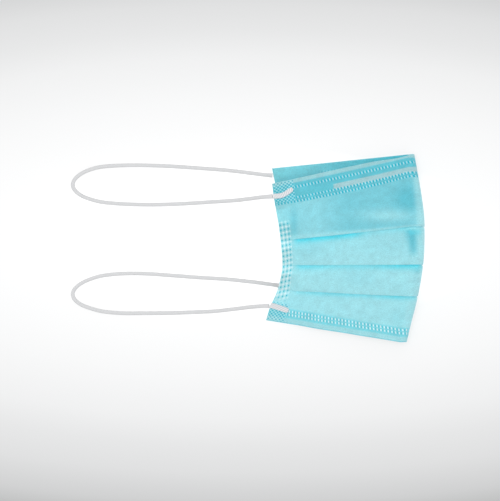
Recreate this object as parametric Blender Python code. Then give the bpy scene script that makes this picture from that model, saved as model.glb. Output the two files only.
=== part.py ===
"""Pleated face mask, folded in half about its upright centre line and lying on its side.

The near half arches over the far half, which lies flat; the fold is at +X and the two
welded side edges are at -X.  +Y is the mask's top, +Z is up, and the origin is under the
middle of the mask, on the surface it lies on.  Lengths are in metres.

Everything is laid out on one smooth middle surface.  A place on it is given by two numbers:
across, which runs 0 to 1 over the near half, 1 to 2 round the fold and 2 to 3 over the far
half, and down, which runs 0 at the top edge to 1 at the bottom edge.
"""

import math
from collections import namedtuple

import bmesh
import bpy
from mathutils import Vector

MM = 0.001

# Cloth
WALL = 1.0 * MM                 # one layer of the three-ply cloth
CLEARANCE = 0.3 * MM            # between two layers, and between a piece and its neighbour

# Folded outline, seen from above
HALF_LENGTH = 87.5 * MM         # fold to side edge, half of a 175 mm wide mask
SIDE_HEIGHT = 82.2 * MM         # a side edge, corner to corner
FOLD_HEIGHT = 113.6 * MM        # the fold, top to bottom, with its pleats drawn open
SIDE_BOW = 8.2 * MM             # how far a side edge is drawn in between its corners
FOLD_BOW = 8.1 * MM             # how far the fold swells out between its ends
NEAR_SIDE_Y = -2.4 * MM         # middle of the near side edge, from the middle of the fold
FAR_SIDE_Y = 7.2 * MM           # the far half is folded a little askew, so it shows above the near one

# How the near half stands over the far one
ARCH_HEIGHT = 20.0 * MM         # highest part of the near half
FOLD_RADIUS = 8.0 * MM          # widest part of the turn at the fold

# Hems
TOP_FLAP = 16.0 * MM            # cloth turned in at the top edge
BOTTOM_FLAP = 8.0 * MM          # cloth turned in at the bottom edge

# Pleats
PLEAT_DEPTH_SIDE = 10.0 * MM    # depth where the side weld holds them shut
PLEAT_DEPTH_FOLD = 5.0 * MM     # what is left of it where the middle is drawn open

# Nose strip
STRIP_LENGTH = 104.0 * MM
STRIP_WIDTH = 3.4 * MM
STRIP_THICKNESS = 0.6 * MM
STRIP_DOWN = 10.5 * MM          # top edge to the strip's middle

# Elastics
BAND_DIAMETER = 2.4 * MM
END_WIDTH = 2.9 * MM            # the elastic pressed flat where it is welded on
END_THICKNESS = 1.2 * MM
LIFT_START = 14.0 * MM          # the far half lies over its two elastic ends as far in as this
LIFT_END = 32.0 * MM            # and is down on the surface from here

# Bow of an edge, as rows of (place down it, share of its bow)
SIDE_SHAPE = [
    (0, 0), (0.15, 0.28), (0.3, 0.60), (0.45, 0.84), (0.6, 1), (0.7, 0.90), (0.8, 0.66), (0.9, 0.26), (1, 0),
]
FOLD_SHAPE = [
    (0, 0), (0.14, 0.42), (0.25, 0.72), (0.35, 0.92), (0.5, 1), (0.6, 0.95), (0.7, 0.79), (0.8, 0.56),
    (0.9, 0.26), (1, 0),
]

# The three upright edges; x of their ends is a share of HALF_LENGTH
Edge = namedtuple("Edge", "x_top x_bottom height middle_y bow bow_shape")
NEAR_EDGE = Edge(-0.504, -0.545, SIDE_HEIGHT, NEAR_SIDE_Y, SIDE_BOW, SIDE_SHAPE)
FAR_EDGE = Edge(-0.504, -0.477, SIDE_HEIGHT, FAR_SIDE_Y, SIDE_BOW, SIDE_SHAPE)
FOLD_EDGE = Edge(0.475, 0.423, FOLD_HEIGHT, 0, FOLD_BOW, FOLD_SHAPE)

# Height of the near half, down its length: shares of ARCH_HEIGHT at the side edge and at mid panel,
# and the share of FOLD_RADIUS at the fold
Arch = namedtuple("Arch", "down side middle turn")
ARCH = [
    Arch(0.00, 0.41, 0.44, 0.46),
    Arch(0.25, 0.74, 0.91, 0.84),
    Arch(0.50, 0.90, 1.00, 1.00),
    Arch(0.75, 0.72, 0.91, 0.86),
    Arch(1.00, 0.26, 0.40, 0.46),
]

# Pleat folds, as places down the side edge and down the fold
Pleat = namedtuple("Pleat", "side fold")
PLEATS = [Pleat(0.419, 0.387), Pleat(0.597, 0.589), Pleat(0.777, 0.756)]

# Soft dents pressed into the near half: middle of the dent, its depth as a share of ARCH_HEIGHT,
# and its reach across and down
Dent = namedtuple("Dent", "across down depth reach_across reach_down")
DENTS = [
    Dent(0.95, 0.45, 0.09, 0.08, 0.05),     # hollow below the first pleat, by the fold
    Dent(0.93, 0.64, 0.05, 0.07, 0.04),     # hollow below the second pleat
    Dent(0.88, 0.30, 0.05, 0.10, 0.06),     # slack of the top panel
    Dent(0.06, 0.58, 0.04, 0.04, 0.16),     # cloth drawn in along the side weld
]

# Stations across: near half, turn and far half
NEAR_STATIONS = [0, 0.05, 0.11, 0.18, 0.27, 0.38, 0.49, 0.6, 0.7, 0.79, 0.87, 0.94]
TURN_STEPS = 7
FAR_STATIONS = [2.06, 2.16, 2.28, 2.42, 2.57, 2.68, 2.77, 2.84, 2.92, 3]

# Welded ends: which half, and their route in mm (in from the side edge, down from the top edge; up from
# the bottom edge where the distance is negative)
WeldedEnd = namedtuple("WeldedEnd", "name half route")
WELDED_ENDS = [
    WeldedEnd("upper_end_near", "near", [(0.0, 8.0), (5.2, 8.5), (8.6, 7.6), (12.6, 6.0)]),
    WeldedEnd("upper_end_far", "far", [(0.0, 4.3), (4.0, 4.6), (8.0, 5.4), (12.0, 6.8)]),
    WeldedEnd("lower_end_near", "near", [(0.0, -9.4), (4.0, -9.1), (8.0, -8.6), (12.4, -8.0)]),
    WeldedEnd("lower_end_far", "far", [(0.0, -11.0), (4.0, -10.6), (8.0, -9.9), (12.0, -9.0)]),
]

# Routes of the two free elastics, in mm, from the near corner round the far end of the loop and back
UPPER_ROUTE = [
    (-43.8, 31.1, 11.9), (-50.0, 30.7, 9.5), (-57.0, 29.9, 5.7), (-66.0, 28.9, 2.2),
    (-78.0, 28.1, 1.25), (-92.0, 27.2, 1.25), (-106.0, 26.5, 1.25), (-120.0, 26.3, 1.25),
    (-134.0, 26.7, 1.25), (-146.0, 27.7, 1.25), (-153.5, 29.4, 1.25), (-159.6, 31.8, 1.25),
    (-163.6, 35.0, 1.25), (-164.9, 38.6, 1.25), (-163.2, 42.2, 1.25), (-159.2, 45.4, 1.25),
    (-153.0, 48.0, 1.25), (-146.0, 49.4, 1.25), (-134.0, 50.1, 1.25), (-120.0, 50.1, 1.25),
    (-104.0, 49.5, 1.25), (-88.0, 48.4, 1.25), (-72.0, 47.2, 1.25), (-58.0, 45.6, 1.25),
    (-49.5, 44.5, 1.25), (-43.75, 44.0, 1.25),
]
LOWER_ROUTE = [
    (-46.0, -34.9, 10.5), (-52.5, -35.2, 8.0), (-59.0, -35.9, 4.6), (-68.0, -37.1, 1.8),
    (-80.0, -38.4, 1.25), (-92.0, -38.9, 1.25), (-106.0, -39.4, 1.25), (-120.0, -39.5, 1.25),
    (-134.0, -39.5, 1.25), (-146.0, -38.5, 1.25), (-153.5, -36.7, 1.25), (-159.6, -34.4, 1.25),
    (-163.6, -31.3, 1.25), (-164.9, -27.8, 1.25), (-163.3, -24.3, 1.25), (-159.4, -21.2, 1.25),
    (-153.5, -18.6, 1.25), (-146.0, -16.6, 1.25), (-134.0, -15.5, 1.25), (-120.0, -15.6, 1.25),
    (-104.0, -16.7, 1.25), (-88.0, -17.9, 1.25), (-72.0, -18.9, 1.25), (-58.0, -20.3, 1.25),
    (-48.0, -21.6, 1.25), (-39.45, -22.8, 1.25),
]
BAND_POINTS = 40                # points on each free elastic

CLOTH_BLUE = (0.37, 0.72, 0.80, 1.0)
STRIP_GREY = (0.62, 0.70, 0.72, 1.0)
BAND_WHITE = (0.84, 0.84, 0.84, 1.0)


def mix(a, b, share):
    """Value at a share of the way from a to b."""
    return a + (b - a) * share


def smooth_step(x, start, end):
    """0 before start, 1 after end, and a smooth rise between them."""
    share = min(max((x - start) / (end - start), 0.0), 1.0)
    return share * share * (3 - 2 * share)


def smooth_table(rows, x):
    """Value of a smooth curve through (place, value) rows, in order of place."""
    if x <= rows[0][0]:
        return rows[0][1]
    if x >= rows[-1][0]:
        return rows[-1][1]
    slopes = []
    for i in range(len(rows)):
        before, after = rows[max(i - 1, 0)], rows[min(i + 1, len(rows) - 1)]
        slopes.append((after[1] - before[1]) / (after[0] - before[0]))
    i = max(k for k in range(len(rows) - 1) if rows[k][0] <= x)
    gap = rows[i + 1][0] - rows[i][0]
    u = (x - rows[i][0]) / gap
    return (
        rows[i][1] * (1 + 2 * u) * (1 - u) ** 2
        + rows[i + 1][1] * u * u * (3 - 2 * u)
        + slopes[i] * gap * u * (1 - u) ** 2
        - slopes[i + 1] * gap * u * u * (1 - u)
    )


def edge_point(edge, down):
    """Plan position of a place down an upright edge."""
    x = mix(edge.x_top, edge.x_bottom, down) * HALF_LENGTH
    x += edge.bow * smooth_table(edge.bow_shape, down)
    y = edge.middle_y + edge.height * (0.5 - down)
    return Vector((x, y, 0))


def turn_radius(down):
    """Radius of the turn at the fold."""
    return FOLD_RADIUS * smooth_table([(row.down, row.turn) for row in ARCH], down)


def arch_height(across, down):
    """Height of the near half's middle surface."""
    side = ARCH_HEIGHT * smooth_table([(row.down, row.side) for row in ARCH], down)
    middle = ARCH_HEIGHT * smooth_table([(row.down, row.middle) for row in ARCH], down)
    fold = WALL / 2 + 2 * turn_radius(down)
    height = smooth_table([(-0.5, side), (0, side), (0.5, middle), (1, fold), (1.5, fold)], across)
    for dent in DENTS:
        away = ((across - dent.across) / dent.reach_across) ** 2 + ((down - dent.down) / dent.reach_down) ** 2
        height -= dent.depth * ARCH_HEIGHT * math.exp(-away) * (1 - smooth_step(across, 0.94, 1))
    return height


def far_height(inward):
    """Height of the far half's middle surface, lifted where it lies over its elastic ends."""
    lift = END_THICKNESS + CLEARANCE
    return WALL / 2 + lift * (1 - smooth_step(inward, LIFT_START, LIFT_END))


def surface(across, down):
    """Point of the middle surface."""
    radius = turn_radius(down)
    fold = edge_point(FOLD_EDGE, down) - Vector((radius, 0, 0))
    if across <= 1:
        point = mix(edge_point(NEAR_EDGE, down), fold, across)
        point.z = arch_height(across, down)
    elif across < 2:
        angle = math.pi * (across - 1)
        point = fold + radius * Vector((math.sin(angle), 0, math.cos(angle)))
        point.z += WALL / 2 + radius
    else:
        point = mix(edge_point(FAR_EDGE, down), fold, 3 - across)
        point.z = far_height((3 - across) * HALF_LENGTH)
    return point


def outward(across, down):
    """Unit normal of the middle surface, on the mask's outer side."""
    step = 0.002
    along = surface(min(across + step, 3), down) - surface(max(across - step, 0), down)
    fall = surface(across, min(down + step, 1)) - surface(across, max(down - step, 0))
    return fall.cross(along).normalized()


def station_height(across):
    """Length of the middle surface down a station, seen from above."""
    top, bottom = surface(across, 0), surface(across, 1)
    return math.hypot(top.x - bottom.x, top.y - bottom.y)


def place(across, fall, offset):
    """Point at a distance down from the top edge and out from the middle surface."""
    down = fall / station_height(across)
    return surface(across, down) + outward(across, down) * offset


def fold_share(across):
    """0 at a side edge and 1 at the fold."""
    return min(across, 1, 3 - across) if across < 1 or across > 2 else 1


def half_turn(middle, out, radius, facing, start):
    """Four points of a half circle in a section; facing is +1 where its round side points down."""
    points = []
    for angle in (90, 30, -30, -90):
        angle = math.radians(angle * start)
        points.append((middle + facing * radius * math.cos(angle), out + radius * math.sin(angle)))
    return points


def section(across):
    """Middle line of the sheet at one station, as (down from the top edge, out from the surface)."""
    height = station_height(across)
    share = fold_share(across)
    depth = mix(PLEAT_DEPTH_SIDE, PLEAT_DEPTH_FOLD, smooth_step(share, 0, 1))
    pitch = WALL + CLEARANCE
    hem_drop = WALL + STRIP_THICKNESS + 2 * CLEARANCE
    hem_steps = [0.3 * TOP_FLAP, 0.68 * TOP_FLAP, TOP_FLAP]
    line = [(fall, -hem_drop) for fall in reversed(hem_steps)]
    line += half_turn(WALL / 2 + hem_drop / 2, -hem_drop / 2, hem_drop / 2, -1, -1)
    line += [(fall, 0) for fall in hem_steps]
    start, sunk = TOP_FLAP, 0
    for pleat in PLEATS:
        edge = mix(pleat.side, pleat.fold, share) * height
        inner = edge - depth
        middle = edge - depth / 2
        turn_middle = edge - pitch / 2

        def base(fall):
            """Height of the panel's outer layer, which rises to the pleat's edge."""
            return sunk * (1 - min(max((fall - start) / (turn_middle - start), 0), 1))

        if sunk == 0:
            line.append((mix(start, inner, 0.5), 0))
        line += [(inner, base(inner)), (middle, base(middle))]
        line += half_turn(turn_middle, -pitch / 2, pitch / 2, 1, 1)
        line.append((middle, base(middle) - pitch))
        line += half_turn(inner + pitch / 2, base(inner) - 1.5 * pitch, pitch / 2, -1, 1)
        line.append((middle, base(middle) - 2 * pitch))
        start, sunk = edge + WALL, -2 * pitch
        line.append((start, sunk))
    flap_start = height - BOTTOM_FLAP
    line += [(mix(start, flap_start, 0.5), sunk / 2), (flap_start, 0), (height - BOTTOM_FLAP / 2, 0)]
    line += half_turn(height - WALL / 2 - pitch / 2, -pitch / 2, pitch / 2, 1, 1)
    line += [(height - BOTTOM_FLAP / 2, -pitch), (flap_start, -pitch)]
    return line


def both_sides(line, wall):
    """The two sides of a wall whose middle line is given."""
    sides = ([], [])
    for i, (fall, out) in enumerate(line):
        before, after = line[max(i - 1, 0)], line[min(i + 1, len(line) - 1)]
        along = Vector((after[0] - before[0], after[1] - before[1])).normalized()
        for side, sign in zip(sides, (1, -1)):
            side.append((fall - sign * along.y * wall / 2, out + sign * along.x * wall / 2))
    return sides


def make_object(name, colour, roughness):
    """Empty mesh object with its own material."""
    mesh = bpy.data.meshes.new(name)
    material = bpy.data.materials.new(name)
    material.use_nodes = True
    shader = material.node_tree.nodes["Principled BSDF"]
    shader.inputs["Base Color"].default_value = colour
    shader.inputs["Roughness"].default_value = roughness
    mesh.materials.append(material)
    piece = bpy.data.objects.new(name, mesh)
    bpy.context.scene.collection.objects.link(piece)
    return piece


def loft(name, rings, colour, roughness, close_ends):
    """Closed solid through rings of points; close_ends gives the faces of one end as point indices."""
    piece = make_object(name, colour, roughness)
    work = bmesh.new()
    rows = [[work.verts.new(point) for point in ring] for ring in rings]
    count = len(rings[0])
    for row, following in zip(rows, rows[1:]):
        for i in range(count):
            j = (i + 1) % count
            work.faces.new((row[i], row[j], following[j], following[i]))
    for face in close_ends:
        work.faces.new([rows[0][i] for i in reversed(face)])
        work.faces.new([rows[-1][i] for i in face])
    bmesh.ops.recalc_face_normals(work, faces=work.faces)
    bmesh.ops.triangulate(work, faces=work.faces)
    work.to_mesh(piece.data)
    work.free()
    return piece


def all_stations():
    """Every station across the mask, near side edge to far side edge."""
    turn = [1 + step / TURN_STEPS for step in range(TURN_STEPS + 1)]
    return NEAR_STATIONS + turn + FAR_STATIONS


def build_mask_body():
    """The pleated sheet, lofted through its sections from one side edge to the other."""
    rings = []
    for across in all_stations():
        outer, inner = both_sides(section(across), WALL)
        rings.append([place(across, fall, out) for fall, out in outer + inner[::-1]])
    count = len(rings[0])
    ends = [(i, i + 1, count - 2 - i, count - 1 - i) for i in range(count // 2 - 1)]
    return loft("mask_body", rings, CLOTH_BLUE, 0.85, ends)


def build_nose_strip():
    """Flat strip in the top hem, bent round the fold."""
    reach = 1 - STRIP_LENGTH / 2 / HALF_LENGTH
    stations = [s for s in all_stations() if reach + 0.02 < s < 3 - reach - 0.02]
    out = -(WALL / 2 + CLEARANCE)
    corners = [
        (STRIP_DOWN - STRIP_WIDTH / 2, out),
        (STRIP_DOWN + STRIP_WIDTH / 2, out),
        (STRIP_DOWN + STRIP_WIDTH / 2, out - STRIP_THICKNESS),
        (STRIP_DOWN - STRIP_WIDTH / 2, out - STRIP_THICKNESS),
    ]
    rings = [[place(s, fall, offset) for fall, offset in corners] for s in [reach] + stations + [3 - reach]]
    return loft("nose_strip", rings, STRIP_GREY, 0.5, [(0, 1, 2, 3)])


def build_welded_end(row):
    """Flattened end of an elastic, laid along its route on the outer side of the cloth."""
    centre = [Vector(point) * MM for point in row.route]
    low = WALL / 2 + CLEARANCE
    rings = []
    for i, point in enumerate(centre):
        along = (centre[min(i + 1, len(centre) - 1)] - centre[max(i - 1, 0)]).normalized()
        beside = Vector((-along.y, along.x)) * END_WIDTH / 2
        ring = []
        for sign, offset in ((-1, low), (1, low), (1, low + END_THICKNESS), (-1, low + END_THICKNESS)):
            inward, fall = point + beside * sign
            share = max(inward, 0) / HALF_LENGTH
            across = share if row.half == "near" else 3 - share
            if row.route[0][1] < 0:
                fall += station_height(across)
            ring.append(place(across, fall, offset))
        rings.append(ring)
    return loft(row.name, rings, BAND_WHITE, 0.7, [(0, 1, 2, 3)])


def smooth_route(points, count):
    """Evenly spaced points on a smooth curve through the given points."""
    fine = []
    for i in range(len(points) - 1):
        before = points[max(i - 1, 0)]
        here, following = points[i], points[i + 1]
        after = points[min(i + 2, len(points) - 1)]
        for step in range(12):
            u = step / 12
            fine.append(
                0.5 * (
                    2 * here
                    + (following - before) * u
                    + (2 * before - 5 * here + 4 * following - after) * u * u
                    + (3 * here - before - 3 * following + after) * u ** 3
                )
            )
    fine.append(points[-1])
    lengths = [0.0]
    for a, b in zip(fine, fine[1:]):
        lengths.append(lengths[-1] + (b - a).length)
    route = []
    k = 0
    for i in range(count):
        want = lengths[-1] * i / (count - 1)
        while k < len(fine) - 2 and lengths[k + 1] < want:
            k += 1
        route.append(mix(fine[k], fine[k + 1], (want - lengths[k]) / (lengths[k + 1] - lengths[k])))
    return route


def build_band(name, route):
    """Free round elastic, as a tube along its route."""
    curve = bpy.data.curves.new(name, "CURVE")
    curve.dimensions = "3D"
    curve.bevel_depth = BAND_DIAMETER / 2
    curve.bevel_resolution = 2
    curve.use_fill_caps = True
    points = smooth_route([Vector(point) * MM for point in route], BAND_POINTS)
    spline = curve.splines.new("POLY")
    spline.points.add(len(points) - 1)
    for spline_point, point in zip(spline.points, points):
        spline_point.co = (*point, 1)
    material = bpy.data.materials.new(name)
    material.use_nodes = True
    shader = material.node_tree.nodes["Principled BSDF"]
    shader.inputs["Base Color"].default_value = BAND_WHITE
    shader.inputs["Roughness"].default_value = 0.8
    curve.materials.append(material)
    piece = bpy.data.objects.new(name, curve)
    bpy.context.scene.collection.objects.link(piece)
    return piece


def build():
    """The whole mask."""
    for piece in list(bpy.context.scene.objects):
        bpy.data.objects.remove(piece, do_unlink=True)
    build_mask_body()
    build_nose_strip()
    for row in WELDED_ENDS:
        build_welded_end(row)
    build_band("upper_band", UPPER_ROUTE)
    build_band("lower_band", LOWER_ROUTE)


build()
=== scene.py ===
"""Looks of a pleated face mask, folded in half and lying on its side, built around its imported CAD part.

Everything is in metres, in the CAD part's own frame.  The cloth is laid out on the same smooth middle
surface as the part's sheet.  A place on it is given by two numbers: across, which runs 0 to 1 over the
near half, 1 to 2 round the fold and 2 to 3 over the far half, and down, 0 at the top edge to 1 at the
bottom edge.
"""

from __future__ import annotations

import logging
import math
from dataclasses import dataclass, field
from enum import Enum

import bpy
import numpy as np
from bpy.types import ID, Material, Node, NodeSocket, NodeTree, Object
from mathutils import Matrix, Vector, noise

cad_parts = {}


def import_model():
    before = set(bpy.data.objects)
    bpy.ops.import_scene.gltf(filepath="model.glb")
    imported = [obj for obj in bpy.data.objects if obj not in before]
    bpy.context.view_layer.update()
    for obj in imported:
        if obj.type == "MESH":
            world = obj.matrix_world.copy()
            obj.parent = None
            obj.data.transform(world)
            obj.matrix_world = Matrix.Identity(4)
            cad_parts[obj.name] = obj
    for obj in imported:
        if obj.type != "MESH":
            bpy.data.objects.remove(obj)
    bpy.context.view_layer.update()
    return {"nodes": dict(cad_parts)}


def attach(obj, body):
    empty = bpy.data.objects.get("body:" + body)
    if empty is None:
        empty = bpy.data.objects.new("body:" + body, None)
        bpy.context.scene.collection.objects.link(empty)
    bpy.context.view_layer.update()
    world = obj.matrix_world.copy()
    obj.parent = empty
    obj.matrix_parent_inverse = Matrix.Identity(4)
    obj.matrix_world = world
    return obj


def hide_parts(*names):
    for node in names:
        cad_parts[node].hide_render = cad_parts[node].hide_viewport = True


Array = np.ndarray
MM = 0.001
LOG = logging.getLogger("mask")


class Half(Enum):
    """The two halves of the folded mask."""

    NEAR = "near"
    FAR = "far"


class Slot(Enum):
    """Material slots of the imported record."""

    CLOTH = "cloth"
    STRIP = "strip"
    ELASTIC = "elastic"


def linear(code: str) -> tuple[float, float, float, float]:
    """Turn an sRGB hex colour such as #a0dfe9 into a linear RGBA colour."""
    parts = [int(code[i:i + 2], 16) / 255 for i in (1, 3, 5)]
    red, green, blue = (p / 12.92 if p <= 0.04045 else ((p + 0.055) / 1.055) ** 2.4 for p in parts)
    return (red, green, blue, 1.0)


def feed(tree: NodeTree, node: Node, inputs: dict) -> None:
    """Give each named or numbered input of a node its value, or link the output socket that feeds it."""
    for key, value in inputs.items():
        if isinstance(value, NodeSocket):
            tree.links.new(value, node.inputs[key])
        else:
            node.inputs[key].default_value = value


def add_node(
    tree: NodeTree, kind: str, inputs: dict | None = None, stops: list | None = None, **settings
) -> Node:
    """Add a node with its settings and links.

    Args:
        tree: Node tree that gets the node.
        kind: Blender's name for the node type, without ShaderNode before it.
        inputs: For each input socket, a value or the output socket that feeds it.
        stops: Colour stops of a ramp, as rows of place and linear colour.
        settings: The node's own properties.

    Returns:
        The new node.
    """
    node = tree.nodes.new("ShaderNode" + kind)
    for name, value in settings.items():
        setattr(node, name, value)
    feed(tree, node, inputs or {})
    for i, (place, colour) in enumerate(stops or []):
        ramp = node.color_ramp.elements
        stop = ramp[i] if i < 2 else ramp.new(place)
        stop.position = place
        stop.color = colour
    return node


def maths(tree: NodeTree, operation: str, first: object, second: object) -> NodeSocket:
    """Join two values or sockets by a sum, a product or the like."""
    return add_node(tree, "Math", {0: first, 1: second}, operation=operation).outputs[0]


def mapped(
    tree: NodeTree, value: NodeSocket, ends: tuple, to: tuple = (0.0, 1.0),
    kind: str = "LINEAR",
) -> NodeSocket:
    """Map a socket's range of values to another range, and hold it at both ends."""
    inputs = {"Value": value, "From Min": ends[0], "From Max": ends[1], "To Min": to[0], "To Max": to[1]}
    return add_node(tree, "MapRange", inputs, interpolation_type=kind).outputs[0]


def mixed(tree: NodeTree, share: object, first: object, second: object) -> NodeSocket:
    """Mix two colours by a share of the second."""
    return add_node(tree, "Mix", {"Factor": share, 6: first, 7: second}, data_type="RGBA").outputs[2]


def shaded(tree: NodeTree, colour: object, factor: NodeSocket) -> NodeSocket:
    """Lighten or darken a colour by a factor."""
    return add_node(tree, "VectorMath", {0: colour, "Scale": factor}, operation="SCALE").outputs[0]


def noise_at(
    tree: NodeTree, place: NodeSocket, scale: float, detail: float = 3.0, distortion: float = 0.0
) -> NodeSocket:
    """Read fractal noise at a place."""
    inputs = {"Vector": place, "Scale": scale, "Detail": detail, "Distortion": distortion}
    return add_node(tree, "TexNoise", inputs).outputs[0]


def bumped(
    tree: NodeTree, height: NodeSocket, distance: float, strength: float
) -> NodeSocket:
    """Turn a height into a shading normal."""
    inputs = {"Height": height, "Distance": distance, "Strength": strength}
    return add_node(tree, "Bump", inputs).outputs[0]


def start_material(name: str) -> tuple[Material, NodeTree, Node]:
    """Make a material and return it with its node tree and its shader node."""
    material = bpy.data.materials.new(name)
    material.use_nodes = True
    return material, material.node_tree, material.node_tree.nodes["Principled BSDF"]


def rise(x: Array, start: float, end: float) -> Array:
    """Return 0 before start, 1 after end, and a smooth rise between them."""
    share = np.clip((np.asarray(x, float) - start) / (end - start), 0, 1)
    return share * share * (3 - 2 * share)


def band(x: Array, low: float, high: float, soft: float) -> Array:
    """Return 1 between low and high, falling to 0 over a soft border on either side."""
    return rise(x, low - soft, low + soft) * (1 - rise(x, high - soft, high + soft))


def bump_at(x: Array, y: Array, middle: tuple[float, float], reach: tuple[float, float]) -> Array:
    """Return a round bump of height 1 at a middle point, with its reach along x and y."""
    return np.exp(-(((x - middle[0]) / reach[0]) ** 2) - ((y - middle[1]) / reach[1]) ** 2)


def smooth_table(rows: list, x: Array) -> Array:
    """Read a smooth curve through rows of place and value.

    Args:
        rows: Rows of a place and its value, in order of place; a value may be an array like x.
        x: Places to read.

    Returns:
        The values at those places.
    """
    x = np.asarray(x, float)
    places = [row[0] for row in rows]
    values = [np.broadcast_to(np.asarray(row[1], float), x.shape) for row in rows]
    last = len(rows) - 1
    slopes = []
    for i in range(len(rows)):
        before, after = max(i - 1, 0), min(i + 1, last)
        slopes.append((values[after] - values[before]) / (places[after] - places[before]))
    result = np.array(values[0])
    for i in range(last):
        gap = places[i + 1] - places[i]
        u = np.clip((x - places[i]) / gap, 0, 1)
        curve = values[i] * (1 + 2 * u) * (1 - u) ** 2 + values[i + 1] * u * u * (3 - 2 * u)
        curve = curve + slopes[i] * gap * u * (1 - u) ** 2 - slopes[i + 1] * gap * u * u * (1 - u)
        result = np.where(x >= places[i], curve, result)
    return result


def smooth_route(points: list[Vector], count: int) -> list[Vector]:
    """Space points evenly on a smooth curve.

    Args:
        points: Points that the curve runs through.
        count: How many points to return.

    Returns:
        Evenly spaced points, from the first given one to the last.
    """
    fine = []
    for i in range(len(points) - 1):
        before, after = points[max(i - 1, 0)], points[min(i + 2, len(points) - 1)]
        here, following = points[i], points[i + 1]
        for step in range(24):
            u = step / 24
            square = (2 * before - 5 * here + 4 * following - after) * u * u
            cube = (3 * here - before - 3 * following + after) * u ** 3
            fine.append(0.5 * (2 * here + (following - before) * u + square + cube))
    fine.append(points[-1])
    line = np.array([tuple(p) for p in fine])
    lengths = np.concatenate([[0], np.cumsum(np.linalg.norm(np.diff(line, axis=0), axis=1))])
    wanted = np.linspace(0, lengths[-1], count)
    return [Vector([np.interp(w, lengths, line[:, k]) for k in range(3)]) for w in wanted]


def route_length(points: list[Vector]) -> float:
    """Return the length of a line of points."""
    return sum((b - a).length for a, b in zip(points, points[1:]))


@dataclass(frozen=True)
class Edge:
    """One upright edge of the folded outline; x of its ends is a share of the half length."""

    x_top: float
    x_bottom: float
    height: float
    middle_y: float
    bow: float
    bow_shape: tuple


SIDE_SHAPE = (
    (0, 0), (0.15, 0.28), (0.3, 0.60), (0.45, 0.84), (0.6, 1), (0.7, 0.90), (0.8, 0.66), (0.9, 0.26), (1, 0),
)
FOLD_SHAPE = (
    (0, 0), (0.14, 0.42), (0.25, 0.72), (0.35, 0.92), (0.5, 1), (0.6, 0.95), (0.7, 0.79), (0.8, 0.56),
    (0.9, 0.26), (1, 0),
)


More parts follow.
